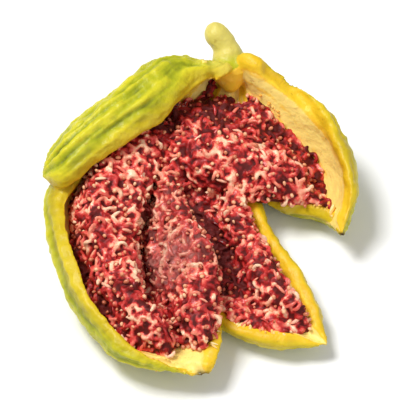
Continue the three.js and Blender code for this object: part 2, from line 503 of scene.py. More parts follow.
def finish_piece(mesh: bpy.types.Mesh, name: str, material: bpy.types.Material,
                 smooth_shaded: bool = True) -> bpy.types.Object:
    """Places a finished mesh in the frame and makes it ride with the fruit.

    Args:
        mesh: The mesh, in millimetres.
        name: The piece's name.
        material: Its finish.
        smooth_shaded: Whether its faces are shaded smooth.

    Returns:
        The piece's object.
    """
    mesh.transform(Matrix.Scale(MM, 4) @ Matrix.Translation(SHIFT))
    mesh.polygons.foreach_set("use_smooth", [smooth_shaded] * len(mesh.polygons))
    mesh.materials.clear()
    mesh.materials.append(material)
    mesh.name = name
    piece = bpy.data.objects.new(name, mesh)
    bpy.context.scene.collection.objects.link(piece)
    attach(piece, BODY)
    triangles = sum(len(face.vertices) - 2 for face in mesh.polygons)
    log.info("%s: %d triangles", name, triangles)
    return piece


# ---- finishes -------------------------------------------------------------------------------

class Nodes:
    """A material's node tree, with a short method for each kind of node that it uses."""

    def __init__(self, name: str) -> None:
        """Starts a material with one Principled shader.

        Args:
            name: The material's name.
        """
        self.material = bpy.data.materials.new(name)
        self.material.use_nodes = True
        self.tree = self.material.node_tree
        self.shader = self.tree.nodes["Principled BSDF"]
        self.place = self.tree.nodes.new("ShaderNodeTexCoord").outputs["Object"]

    def _set(self, socket: bpy.types.NodeSocket, value: object) -> None:
        """Links a socket, or gives it a plain value.

        Args:
            socket: The socket.
            value: Another node's output, or a value.
        """
        if isinstance(value, bpy.types.NodeSocket):
            self.tree.links.new(value, socket)
        else:
            socket.default_value = value

    def attribute(self, name: str) -> bpy.types.NodeSocket:
        """Reads one of the mesh's named numbers.

        Args:
            name: The attribute's name.

        Returns:
            The number.
        """
        node = self.tree.nodes.new("ShaderNodeAttribute")
        node.attribute_name = name
        return node.outputs["Fac"]

    def noise(self, size: float, detail: float = 3.0, stretch: Point = (1, 1, 1)
              ) -> bpy.types.NodeSocket:
        """Noise with grains of a size in millimetres.

        Args:
            size: The grain's size.
            detail: How many finer layers it has.
            stretch: How much longer it is along each axis.

        Returns:
            The noise, from 0 to 1.
        """
        mapping = self.tree.nodes.new("ShaderNodeMapping")
        self._set(mapping.inputs["Vector"], self.place)
        mapping.inputs["Scale"].default_value = [1 / (size * MM * s) for s in stretch]
        node = self.tree.nodes.new("ShaderNodeTexNoise")
        node.inputs["Scale"].default_value = 1.0
        node.inputs["Detail"].default_value = detail
        self._set(node.inputs["Vector"], mapping.outputs["Vector"])
        return node.outputs["Fac"]

    def math(self, operation: str, first: object, second: object = 0.0) -> bpy.types.NodeSocket:
        """Works out one number from two.

        Args:
            operation: The Math node's operation.
            first: The first number.
            second: The second number.

        Returns:
            The result.
        """
        node = self.tree.nodes.new("ShaderNodeMath")
        node.operation = operation
        self._set(node.inputs[0], first)
        self._set(node.inputs[1], second)
        return node.outputs[0]

    def ramp(self, factor: bpy.types.NodeSocket, stops: Sequence[tuple[float, Colour]]
             ) -> bpy.types.NodeSocket:
        """A colour that changes with a number.

        Args:
            factor: The number.
            stops: Where each colour is reached.

        Returns:
            The colour.
        """
        node = self.tree.nodes.new("ShaderNodeValToRGB")
        elements = node.color_ramp.elements
        while len(elements) < len(stops):
            elements.new(1.0)
        for element, (position, colour) in zip(elements, stops):
            element.position = position
            element.color = colour
        self._set(node.inputs["Fac"], factor)
        return node.outputs["Color"]

    def mix(self, factor: object, first: object, second: object, blend: str = "MIX"
            ) -> bpy.types.NodeSocket:
        """Mixes two colours.

        Args:
            factor: How much of the second shows.
            first: The first colour.
            second: The second colour.
            blend: How they combine.

        Returns:
            The mixed colour.
        """
        node = self.tree.nodes.new("ShaderNodeMix")
        node.data_type = "RGBA"
        node.blend_type = blend
        self._set(node.inputs["Factor"], factor)
        self._set(node.inputs["A"], first)
        self._set(node.inputs["B"], second)
        return node.outputs["Result"]

    def bump(self, height: bpy.types.NodeSocket, depth: float, strength: float,
             below: bpy.types.NodeSocket | None = None) -> bpy.types.NodeSocket:
        """Fine relief.

        Args:
            height: The relief, from 0 to 1.
            depth: Its depth in millimetres.
            strength: How strongly it shows.
            below: A coarser relief that it lies on.

        Returns:
            The bumped normal.
        """
        node = self.tree.nodes.new("ShaderNodeBump")
        node.inputs["Distance"].default_value = depth * MM
        node.inputs["Strength"].default_value = strength
        self._set(node.inputs["Height"], height)
        if below is not None:
            self._set(node.inputs["Normal"], below)
        return node.outputs["Normal"]

    def shade(self, **sockets: object) -> bpy.types.Material:
        """Sets the shader's sockets, named with underscores for spaces, and gives the material."""
        for name, value in sockets.items():
            self._set(self.shader.inputs[name.replace("_", " ")], value)
        return self.material


def rgb(red: float, green: float, blue: float) -> Colour:
    """An opaque colour."""
    return (red, green, blue, 1.0)


@dataclass(frozen=True)
class RindFinish:
    """Ribbed yellow-green skin that turns golden at its rims and orange inside."""

    # dark olive of the grooves between the ribs: partly the skin's green streaks, partly painted
    # shade
    groove_streak_and_shade: Colour = rgb(0.14, 0.16, 0.004)
    green: Colour = rgb(0.36, 0.38, 0.008)
    lime: Colour = rgb(0.63, 0.57, 0.018)
    gold: Colour = rgb(0.74, 0.46, 0.012)
    yellow: Colour = rgb(0.88, 0.58, 0.025)
    orange: Colour = rgb(0.95, 0.56, 0.04)
    cream: Colour = rgb(0.98, 0.74, 0.20)
    scale_brown: Colour = rgb(0.06, 0.03, 0.008)
    russet: Colour = rgb(0.34, 0.20, 0.008)
    stem: Colour = rgb(0.66, 0.56, 0.12)
    crinkle: Point = (1.0, 1.6, 0.7)
    roughness: float = 0.40

    def material(self) -> bpy.types.Material:
        """Builds the skin's material.

        Returns:
            The material.
        """
        nodes = Nodes("fig_rind_finish")
        rib, inner = nodes.attribute("rib"), nodes.attribute("inner")
        edge, flesh = nodes.attribute("edge"), nodes.attribute("flesh")
        spot, pale = nodes.attribute("spot"), nodes.attribute("pale")
        patches = nodes.noise(3.5, 4.0)
        # the ribs' height sets the colour: dark olive in the grooves, partly green streaks and partly
        # painted shade
        tone = nodes.math("ADD", nodes.math("MULTIPLY", rib, 0.55),
                          nodes.math("MULTIPLY", patches, 0.5))
        skin = nodes.ramp(tone, [(0.18, self.groove_streak_and_shade), (0.42, self.green), (0.72, self.lime)])
        skin = nodes.mix(nodes.math("MULTIPLY", edge, 0.62), skin, self.gold)
        streaks = nodes.math("MULTIPLY", nodes.math("SUBTRACT", rib, 0.5), 0.5)
        inside = nodes.ramp(nodes.math("ADD", nodes.math("ADD", flesh, streaks),
                                       nodes.math("MULTIPLY", patches, 0.2)),
                            [(0.10, self.gold), (0.45, self.yellow), (0.8, self.orange),
                             (1.0, self.cream)])
        colour = nodes.mix(inner, skin, inside)
        colour = nodes.mix(pale, colour, self.stem)
        colour = nodes.mix(spot, colour, self.scale_brown)
        creases = nodes.noise(1.5, 4.0, self.crinkle)
        fine = nodes.bump(nodes.noise(0.5, 4.0), 0.14, 0.6)
        coarse = nodes.bump(creases, 0.4, 0.6, fine)
        freckles = nodes.ramp(nodes.noise(0.9, 5.0), [(0.62, rgb(0, 0, 0)), (0.74, rgb(1, 1, 1))])
        colour = nodes.mix(nodes.math("MULTIPLY", freckles, 0.4), colour, self.russet)
        return nodes.shade(Base_Color=colour, Roughness=self.roughness, Normal=coarse,
                           Subsurface_Weight=0.1, Subsurface_Radius=(0.0015, 0.001, 0.0003),
                           Specular_IOR_Level=0.28)


@dataclass(frozen=True)
class PulpFinish:
    """Moist flesh: dark between the strands, partly as painted shade, crimson to peach on them, dusty
    in places.
    """

    # near-black red of the bare pulp between the strands: partly the flesh's deep red, partly painted
    # shade
    dark: Colour = rgb(0.095, 0.003, 0.002)
    crimson: Colour = rgb(0.36, 0.010, 0.010)
    rose: Colour = rgb(0.70, 0.062, 0.052)
    peach: Colour = rgb(0.92, 0.33, 0.21)
    cream: Colour = rgb(0.97, 0.64, 0.42)
    dusk: Colour = rgb(0.20, 0.035, 0.035)
    dust: Colour = rgb(0.56, 0.20, 0.16)
    rough_gap: float = 0.7
    rough_strand: float = 0.28
    gloss: float = 0.32

    def material(self) -> bpy.types.Material:
        """Builds the flesh's material.

        Returns:
            The material.
        """
        nodes = Nodes("fig_pulp_finish")
        mottle = nodes.math("MULTIPLY", nodes.math("SUBTRACT", nodes.noise(0.7, 4.0), 0.5), 0.5)
        # low tints give the dark colours: painted shade between the strands and in the creases and
        # crevices
        flesh = nodes.ramp(nodes.math("ADD", nodes.attribute("tint"), mottle),
                           [(0.06, self.dark), (0.30, self.crimson), (0.54, self.rose),
                            (0.80, self.peach), (1.0, self.cream)])
        roughness = nodes.math("ADD", self.rough_gap, nodes.math(
            "MULTIPLY", nodes.math("MINIMUM", nodes.attribute("tint"), 0.5),
            2 * (self.rough_strand - self.rough_gap)))
        dusty = nodes.ramp(nodes.noise(1.1, 5.0), [(0.3, self.dusk), (0.62, self.dust)])
        cover = nodes.math("MULTIPLY", nodes.attribute("bloom"), 0.6)
        relief = nodes.bump(nodes.noise(0.4, 3.0), 0.12, 0.5)
        return nodes.shade(Base_Color=nodes.mix(cover, flesh, dusty), Roughness=roughness,
                           Normal=relief, Specular_IOR_Level=self.gloss,
                           Subsurface_Weight=0.12, Subsurface_Radius=(0.001, 0.0003, 0.0003))


@dataclass(frozen=True)
class GrainFinish:
    """Small grains, each in its own tint between the ramp's colours."""

    name: str
    stops: tuple[tuple[float, Colour], ...]
    roughness: float
    gloss: float
    glow: float
    dust: Colour = rgb(0.50, 0.18, 0.15)

    def material(self) -> bpy.types.Material:
        """Builds the grains' material.

        Returns:
            The material.
        """
        nodes = Nodes(self.name)
        mottle = nodes.math("MULTIPLY", nodes.math("SUBTRACT", nodes.noise(0.5, 3.0), 0.5), 0.35)
        # low tints give the darkest colours, which include painted shade in the creases and crevices
        colour = nodes.ramp(nodes.math("ADD", nodes.attribute("tint"), mottle), self.stops)
        colour = nodes.mix(nodes.math("MULTIPLY", nodes.attribute("bloom"), 0.6), colour, self.dust)
        relief = nodes.bump(nodes.noise(0.22, 2.0), 0.05, 0.4)
        return nodes.shade(Base_Color=colour, Roughness=self.roughness, Normal=relief,
                           Subsurface_Weight=self.glow, Specular_IOR_Level=self.gloss,
                           Subsurface_Radius=(0.0012, 0.0004, 0.0003))


SEED_FINISH = GrainFinish(
    "fig_seed_finish",
    ((0.0, rgb(0.45, 0.09, 0.04)), (0.5, rgb(0.80, 0.30, 0.15)), (1.0, rgb(0.94, 0.60, 0.34))),
    roughness=0.28, gloss=0.5, glow=0.1)
FRINGE_FINISH = GrainFinish(
    "fig_fringe_finish",
    ((0.0, rgb(0.80, 0.36, 0.05)), (0.5, rgb(0.92, 0.58, 0.16)), (1.0, rgb(0.97, 0.78, 0.36))),
    roughness=0.4, gloss=0.3, glow=0.15)
STRAND_FINISH = GrainFinish(
    "fig_strand_finish",
    ((0.0, rgb(0.12, 0.003, 0.004)), (0.25, rgb(0.48, 0.022, 0.022)), (0.5, rgb(0.76, 0.13, 0.09)),
     (0.75, rgb(0.92, 0.34, 0.22)), (1.0, rgb(0.97, 0.66, 0.44))),
    roughness=0.28, gloss=0.5, glow=0.15)


@dataclass(frozen=True)
class FloorFinish:
    """Plain matt white paper."""

    white: Colour = rgb(0.92, 0.92, 0.92)

    def material(self) -> bpy.types.Material:
        """Builds the paper's material.

        Returns:
            The material.
        """
        nodes = Nodes("paper_finish")
        colour = nodes.ramp(nodes.noise(60.0, 2.0), [(0.0, rgb(0.91, 0.91, 0.91)), (1.0, self.white)])
        return nodes.shade(Base_Color=colour, Roughness=0.9)


# ---- rind and stem --------------------------------------------------------------------------

@dataclass
class Stem:
    """The cut stem: a bent, tapering stub that flares into the neck, in millimetres."""

    line: tuple[Point, ...] = ((5.3, 22.5, 12.5), (5, 26.3, 15.5), (4.3, 28.4, 17.6),
                               (2.9, 29.6, 19.2), (1.2, 29.9, 20.4))
    neck_radius: float = 4.3
    end_radius: float = 2.05
    nose: float = 2.9   # how much thinner its inner end is

    def blank(self) -> tuple[bmesh.types.BMesh, np.ndarray]:
        """Draws a sphere out along the stem.

        Returns:
            The closed shape, and each vertex's share of the stem's length.
        """
        shape, share, angle = ball(32, 40)
        along = np.arccos(np.clip(1 - 2 * share, -1, 1)) / math.pi
        path = Spline(self.line)
        tangent = path.direction(along)
        side = unit(np.cross(tangent, (1.0, 0.0, 0.0)))
        other = np.cross(tangent, side)
        taper = (self.neck_radius + (self.end_radius - self.neck_radius) * smooth(along / 0.7)
                 - self.nose * (1 - smooth(along / 0.34)))
        radius = (taper * np.sqrt(np.maximum(0, 1 - (2 * along - 1) ** 8)))[:, None]
        round_it = side * np.cos(angle)[:, None] + other * np.sin(angle)[:, None]
        move(shape, path.at(along) + round_it * radius)
        return shape, along


@dataclass
class Rind:
    """The fruit's skin: four lobes and the stem, fused, with ribs and wrinkles.

    Heights and sizes are in millimetres.
    """

    lobes: Sequence[Lobe]
    stem: Stem
    finish: RindFinish = RindFinish()
    voxel: float = 0.335
    rib_height: float = 0.44
    wrinkle_height: float = 0.2
    frill_height: float = 0.32
    sag_height: float = 0.35
    swell: float = 0.14
    bluntness: float = 0.65      # below 1 makes the rims blunt
    edge_start: float = 0.66     # where the golden edge starts, as a share of a lobe's side

    def build(self) -> bpy.types.Object:
        """Models the rind.

        Returns:
            The finished piece.
        """
        shapes, places, readings = [], [], []
        for index, lobe in enumerate(self.lobes):
            shape, along, angle = ball(88, 120)
            wide = np.sign(np.cos(angle)) * np.abs(np.cos(angle)) ** self.bluntness
            across = np.where((along > 1e-5) & (along < 1 - 1e-5), wide, 0.0)
            depth = 0.5 - 0.5 * np.clip(1.7 * np.sin(angle), -1, 1)
            points = lobe.surface(along, across, depth)
            move(shape, points)
            shapes.append(shape)
            places.append(points)
            readings.append(np.stack([along, across, depth, np.full_like(along, index)], 1))
        shape, along = self.stem.blank()
        places.append(np.array([vertex.co for vertex in shape.verts]))
        shapes.append(shape)
        readings.append(np.stack([along, 0 * along, 0 * along, 0 * along - 1], 1))
        mesh = fuse(gather(shapes, "rind", self.swell), "rind", self.voxel, 2)
        self._dress(mesh, np.concatenate(places), np.concatenate(readings))
        return finish_piece(mesh, "fig_rind", self.finish.material())

    def _dress(self, mesh: bpy.types.Mesh, places: np.ndarray, readings: np.ndarray) -> None:
        """Raises the ribs and wrinkles, and stores what the finish reads.

        Args:
            mesh: The fused skin.
            places: Points of the unfused shapes.
            readings: Along, across, depth and lobe at each of those points.
        """
        skin, normal = coordinates(mesh), coordinates(mesh, True)
        along, across, depth, lobe = self._read(skin, places, readings).T
        on_lobe = lobe >= 0
        inner = smooth((depth - 0.38) / 0.24) * on_lobe
        cup = (~on_lobe) & (along < 0.4) & (normal[:, 1] * -0.75 + normal[:, 2] * -0.25 > 0.25)
        inner = np.maximum(inner, cup)
        edge = smooth((np.abs(across) - self.edge_start) / (1 - self.edge_start)) * on_lobe
        flow = np.stack([across * 13.0, along * 60.0, lobe * 9.0], 1)
        rib = (grain(flow, (1.6, 17.0, 1.0)) + 0.55 * grain(flow, (0.75, 8.0, 1.0), 5.0)
               + 0.3 * grain(skin, (1.1, 1.1, 1.1), 3.0))
        rib = np.clip(rib * 1.5, -1, 1)
        wrinkle = grain(skin, (1.5, 1.5, 1.5), 11.0) + 0.5 * grain(skin, (0.7, 0.7, 0.7), 2.0)
        outer = 1 - inner
        lift = (self.rib_height * rib * outer * (1 - 0.5 * edge)
                + self.wrinkle_height * wrinkle * (0.6 + 0.4 * outer)
                + self.frill_height * edge * grain(skin, (2.4, 2.4, 2.4), 21.0)
                + self.sag_height * grain(skin, (6.0, 6.0, 6.0), 7.0))
        lift *= (0.3 + 0.7 * smooth((skin[:, 2] - BELLY) / 2.0)) * np.where(on_lobe, 1.0, 0.45)
        skin = skin + normal * lift[:, None]
        set_coordinates(mesh, skin)
        soften(mesh, 1)
        skin = coordinates(mesh)
        skin[:, 2] = np.maximum(skin[:, 2], BELLY)
        set_coordinates(mesh, skin)
        tips = smooth((along - 0.972) / 0.02) * ((lobe == 1) | (lobe == 3))
        root = smooth((0.14 - along) / 0.12) * outer * on_lobe
        store(mesh, "rib", (rib + 1) / 2)
        store(mesh, "inner", inner)
        store(mesh, "edge", edge)
        store(mesh, "flesh", inner * (1 - edge) * np.where(cup, 0.55, 1.0))
        store(mesh, "spot", tips)
        store(mesh, "pale", np.maximum(smooth((along - 0.38) / 0.2) * ~on_lobe, 0.5 * root))

    @staticmethod
    def _read(skin: np.ndarray, places: np.ndarray, readings: np.ndarray) -> np.ndarray:
        """Carries readings from the unfused shapes to the fused skin.

        Args:
            skin: Points of the fused skin.
            places: Points of the unfused shapes.
            readings: What was read at each of those points.

        Returns:
            The readings at each point of the skin.
        """
        tree = KDTree(len(places))
        for index, place in enumerate(places):
            tree.insert(place, index)
        tree.balance()
        result = np.empty((len(skin), readings.shape[1]))
        for row, point in enumerate(skin):
            found = tree.find_n(point, 5)
            closest = readings[found[0][1]]
            alike = [(i, d) for _, i, d in found if readings[i, 3] == closest[3]
                     and abs(readings[i, 1] - closest[1]) < 0.3]
            weights = np.array([1 / (d * d + 1e-3) for _, d in alike])
            result[row] = weights @ readings[[i for i, _ in alike]] / weights.sum()
            result[row, 3] = closest[3]
        return result


# ---- pulp -----------------------------------------------------------------------------------

@dataclass(frozen=True)
class Lump:
    """A rounded mass of pulp where the lobes meet, in millimetres and degrees."""

    centre: Point
    radii: Point
    turn: float = 0.0

    def blank(self) -> bmesh.types.BMesh:
        """Makes the mass.

        Returns:
            The closed shape.
        """
        shape, _, _ = ball(32, 20)
        matrix = (Matrix.Translation(self.centre) @ Matrix.Rotation(math.radians(self.turn), 4, "Z")
                  @ Matrix.Diagonal((*self.radii, 1.0)))
        bmesh.ops.transform(shape, matrix=matrix, verts=shape.verts)
        return shape


@dataclass
class Pulp:
    """The flesh that lines the lobes and fills the middle of the fruit."""

    lobes: Sequence[Lobe]
    lumps: Sequence[Lump] = (Lump((2.4, 11.2, 9.4), (11.0, 6.6, 4.6), -20.0),
                             Lump((9.5, 8.2, 8.2), (8.5, 5.6, 4.0), -12.0),
                             Lump((-0.5, 17.0, 9.4), (7.5, 5.5, 3.8)),
                             Lump((6.5, 17.0, 8.6), (5.5, 5.0, 3.4)),
                             Lump((-3.6, 6.0, 4.6), (3.4, 5.5, 2.6), 20.0),
                             Lump((0.5, 0.5, 3.4), (3.6, 8.0, 1.6), 18.0),
                             Lump((3.4, -9.0, 3.0), (1.8, 7.0, 1.3), 10.0))
    finish: PulpFinish = PulpFinish()
    voxel: float = 0.42
    fine_voxel: float = 0.23
    most: int = 194_000   # triangles
    seat: float = 0.55   # how deep in the rind the pulp starts, as a share of it

    def base(self) -> bpy.types.Mesh:
        """Models the smooth mass of the pulp, without its strands.

        Returns:
            The mesh, in millimetres.
        """
        shapes = [self._swelling(lobe, mound) for lobe in self.lobes for mound in lobe.sizes.mounds]
        shapes += [lump.blank() for lump in self.lumps]
        mesh = fuse(gather(shapes, "pulp_base"), "pulp_base", self.voxel, 3)
        skin = coordinates(mesh)
        lift = 0.5 * grain(skin, (4.5, 4.5, 4.5), 1.0) + 0.35 * grain(skin, (1.7, 1.7, 1.7), 4.0)
        skin = skin + coordinates(mesh, True) * lift[:, None]
        skin[:, 2] = np.maximum(skin[:, 2], BELLY + 0.4)
        set_coordinates(mesh, skin)
        return mesh

    def build(self, base: bpy.types.Mesh, strands: Sequence[bpy.types.Mesh]) -> bpy.types.Object:
        """Fuses the mass and its strands into one flesh.

        Args:
            base: The smooth mass.
            strands: Meshes of strands and drupelets that stand in it.

        Returns:
            The finished piece.
        """
        whole = bmesh.new()
        whole.from_mesh(base)
        # the bare pulp between the strands takes tint 0, the darkest colour, partly as painted shade
        places, tints = [coordinates(base)], [np.zeros(len(base.vertices))]
        for mesh in strands:
            whole.from_mesh(mesh)
            places.append(coordinates(mesh))
            tints.append(read(mesh, "tint"))
        blank = bpy.data.meshes.new("pulp_blank")
        whole.to_mesh(blank)
        whole.free()
        flesh = thin(fuse(blank, "pulp", self.fine_voxel, 1), self.most)
        skin = coordinates(flesh)
        store(flesh, "tint", nearest(skin, np.concatenate(places), np.concatenate(tints)))
        store(flesh, "bloom", bloom(skin))
        return finish_piece(flesh, "fig_pulp", self.finish.material())

    def _swelling(self, lobe: Lobe, mound: Mound) -> bmesh.types.BMesh:
        """Lays a domed blob along a lobe, seated in its rind.

        Args:
            lobe: The lobe that it lines.
            mound: Its reach and height.

        Returns:
            The closed shape.
        """
        shape, share, angle = ball(56, 64)
        round_it = np.sqrt(np.clip(4 * share * (1 - share), 0, 1))
        x, y = np.cos(angle) * round_it ** 0.7, np.sin(angle) * round_it ** 0.7
        along = mound.along[0] + share * (mound.along[1] - mound.along[0])
        middle = (mound.across[0] + mound.across[1]) / 2 + mound.skew * (share - 0.5)
        across = middle + x * (mound.across[1] - mound.across[0]) / 2
        top = np.clip(y + 0.15, 0, 1)
        depth = self.seat + (1.0 - self.seat) * smooth(top * 2)
        move(shape, lobe.surface(along, across, depth, mound.height * top))
        return shape


# ---- grains on the pulp ---------------------------------------------------------------------

@dataclass(frozen=True)
class Tone:
    """A patch of pulp with a colour of its own, or a patch of painted shade where the pulp dips.

    centre and reach are in millimetres, tint makes the grains there paler or darker, and
    bloom says how dusty and smooth the flesh is. The strongly negative tints are painted shade.
    """

    centre: Point
    reach: float
    tint: float = 0.0
    bloom: float = 0.0

    def weight(self, places: np.ndarray) -> np.ndarray:
        """How strongly the patch shows at each place."""
        away = np.linalg.norm(np.atleast_2d(places) - np.array(self.centre), axis=1)
        return smooth(1.5 - away / self.reach)


# Paler patches lie on the bowl's left mound and the middle mass, and dusty ones on the bowl's middle.
# The tints of -0.6 to -0.9 are painted shade: in the crevice between the bowl's right mound and the
# tongue, in the gap between the bowl's pulp and its left wall, and along the crease between the
# bowl's two mounds. The -0.35 patch is painted shade on the low left side of the tongue's pulp. The
# tints of -0.3 to -0.5 make the pulp darker on the dish and near the neck.
TONES_AND_PAINTED_SHADE = (Tone((-15, 4, 10), 9.0, tint=0.16), Tone((-13, -8, 9), 6.5, tint=0.08),
         Tone((-4, -11, 9), 5.5, bloom=0.9), Tone((-5, -1, 8), 4.5, bloom=0.5),
         Tone((-5.7, 9.6, 6), 2.0, tint=-0.7), Tone((-3.6, 5, 5), 2.4, tint=-0.9),
         Tone((-1.5, 1, 5), 2.4, tint=-0.9), Tone((2, -3, 4.5), 2.8, tint=-0.9),
         Tone((4, -8, 4), 3.0, tint=-0.8), Tone((5.2, -13.5, 4), 2.8, tint=-0.7),
         Tone((7.5, -5, 4), 3.5, tint=-0.35), Tone((-18, -12, 6), 3.0, tint=-0.8),
         Tone((-19, -6, 6), 3.0, tint=-0.6), Tone((-14.5, -19, 6), 2.6, tint=-0.8),
         Tone((-9.8, 5, 8), 1.8, tint=-0.7), Tone((-9.2, 0, 8), 1.6, tint=-0.7),
         Tone((-9, -5, 7.5), 1.6, tint=-0.7), Tone((-8.4, -10, 7), 1.6, tint=-0.7),
         Tone((-7.4, -15, 6.5), 1.6, tint=-0.7), Tone((6, 9, 12), 6.0, tint=0.1),
         Tone((12, 15, 9), 3.5, tint=-0.3), Tone((18, 12, 8), 3.5, tint=-0.3),
         Tone((1, 19, 12), 6.0, tint=-0.4), Tone((-7, 15, 12), 4.0, tint=-0.5))


def bloom(places: np.ndarray) -> np.ndarray:
    """How dusty and smooth the flesh is at each place, from 0 to 1."""
    return np.clip(sum(tone.bloom * tone.weight(places) for tone in TONES_AND_PAINTED_SHADE), 0, 1)


class Form(Enum):
    """The small shapes of the pulp and of the torn rims."""

    DRUPELET = "drupelet"
    SEED = "seed"
    TOOTH = "tooth"
    LOOP = "loop"
    COMMA = "comma"
    THREAD = "thread"


@dataclass(frozen=True)
class Bead:
    """A drop: its length as a share of its width, and how pinched it is at the foot."""

    length: float
    pinch: float


@dataclass(frozen=True)
class Curl:
    """A bent strand: the radius of its bend and half its thickness as shares of its size.

    sweep is the angle that it bends through, in degrees, and steps how many pieces it has.
    """

    bend: float
    thick: float
    sweep: float
    steps: int


BEADS = {Form.DRUPELET: Bead(length=1.7, pinch=0.5), Form.SEED: Bead(length=1.15, pinch=0.2),
         Form.TOOTH: Bead(length=2.4, pinch=0.7)}
CURLS = {Form.LOOP: Curl(bend=0.72, thick=0.33, sweep=190, steps=7),
         Form.COMMA: Curl(bend=0.85, thick=0.38, sweep=100, steps=5),
         Form.THREAD: Curl(bend=2.2, thick=0.34, sweep=75, steps=6)}


@dataclass(frozen=True)
class Grains:
    """Many small shapes spread over the pulp.

    Sizes are in millimetres, and angles in degrees. gap is the least distance between two,
    share how many of the free places are used, spread how much their sizes differ, lean how far
    they tilt, and sink how deep each sits. tint is the range of their colours.
    """

    FLATNESS: ClassVar[float] = 0.85       # a bead's second width, as a share of its first
    PATCH: ClassVar[float] = 4.0           # size of the paler and darker patches
    PATCH_TINT: ClassVar[float] = 0.25     # how strong they are

    name: str
    form: Form
    finish: GrainFinish
    slot: str
    gap: float
    size: float
    spread: float
    lean: float
    sink: float
    seed: int
    tint: tuple[float, float]
    share: float = 1.0

    def template(self) -> bpy.types.Mesh:
        """Models one grain with a few dozen faces, standing on its end.

        Returns:
            The grain's mesh.
        """
        shape = bmesh.new()
        if self.form in CURLS:
            self._strand(shape, CURLS[self.form])
        else:
            bead = BEADS[self.form]
            bmesh.ops.create_uvsphere(shape, u_segments=6, v_segments=5, radius=0.5)
            for vertex in shape.verts:
                width = 1 - bead.pinch * (0.5 - vertex.co.z)
                vertex.co = (vertex.co.x * width, vertex.co.y * width * self.FLATNESS,
                             vertex.co.z * bead.length)
        mesh = bpy.data.meshes.new(self.name + "_template")
        shape.to_mesh(mesh)
        shape.free()
        return mesh

    @staticmethod
    def _strand(shape: bmesh.types.BMesh, curl: Curl) -> None:
        """Spins a small ring into a tapering arch with its feet on the ground.

        Args:
            shape: The empty bmesh.
            curl: The strand's sizes.
        """
        sweep = math.radians(curl.sweep)
        ring = bmesh.ops.create_circle(shape, segments=5, radius=curl.thick)
        bmesh.ops.translate(shape, verts=ring["verts"], vec=(curl.bend, 0, 0))
        bmesh.ops.spin(shape, geom=shape.verts[:] + shape.edges[:], cent=(0, 0, 0),
                       axis=(0, 1, 0), angle=sweep, steps=curl.steps)
        bmesh.ops.holes_fill(shape, edges=shape.edges, sides=5)
        for vertex in shape.verts:
            turn = math.atan2(-vertex.co.z, vertex.co.x) % (2 * math.pi)
            share = min(max(turn / sweep, 0.0), 1.0) if turn < 6 else 0.0
            centre = Vector((math.cos(turn), 0, -math.sin(turn))) * curl.bend
            vertex.co = centre.lerp(vertex.co, 0.4 + 0.6 * math.sin(math.pi * share) ** 0.5)
        upright = Matrix.Rotation(-(math.pi / 2 + sweep / 2), 4, "Y")
        bmesh.ops.transform(shape, matrix=upright, verts=shape.verts)
        foot = curl.bend * math.cos(sweep / 2)
        bmesh.ops.translate(shape, verts=shape.verts, vec=(0, 0, -foot))
        bmesh.ops.recalc_face_normals(shape, faces=shape.faces)

    def grow(self, ground: "Ground") -> bpy.types.Mesh:
        """Spreads the grains over the open face of the pulp.

        Args:
            ground: The pulp that they stand on.

        Returns:
            One mesh of them all, in millimetres, with their tints.
        """
        chance = random.Random(self.seed)
        template = self.template()
        whole = bmesh.new()
        tints, blooms = [], []
        for place, normal in ground.places(self.gap, self.share, chance):
            size = self.size * (1 + chance.uniform(-self.spread, self.spread))
            lean = Vector((chance.gauss(0, 1), chance.gauss(0, 1), chance.gauss(0, 1)))
            up = (normal + lean.normalized() * math.tan(math.radians(self.lean))
                  * chance.random()).normalized()
            turn = up.to_track_quat("Z", "Y").to_matrix().to_4x4()
            spin = Matrix.Rotation(chance.uniform(0, 2 * math.pi), 4, "Z")
            matrix = (Matrix.Translation(place - normal * self.sink) @ turn @ spin
                      @ Matrix.Scale(size, 4))
            copy = template.copy()
            copy.transform(matrix)
            whole.from_mesh(copy)
            bpy.data.meshes.remove(copy)
            spot = np.array(place)
            # the patches' tint: their own colour, and painted shade in the creases and crevices
            patch_tint_and_painted_shade = sum(tone.tint * tone.weight(spot)[0] for tone in TONES_AND_PAINTED_SHADE)
            tints.append(chance.uniform(*self.tint) + patch_tint_and_painted_shade
                         + noise.noise(place / self.PATCH) * self.PATCH_TINT)
            blooms.append(bloom(spot)[0])
        mesh = bpy.data.meshes.new(self.name)
        whole.to_mesh(mesh)
        whole.free()
        store(mesh, "tint", np.repeat(np.clip(tints, 0, 1), len(template.vertices)))
        store(mesh, "bloom", np.repeat(blooms, len(template.vertices)))
        bpy.data.meshes.remove(template)
        return mesh

    def build(self, ground: "Ground") -> bpy.types.Object:
        """Makes the grains a piece of their own."""
        return finish_piece(self.grow(ground), self.name, self.finish.material())


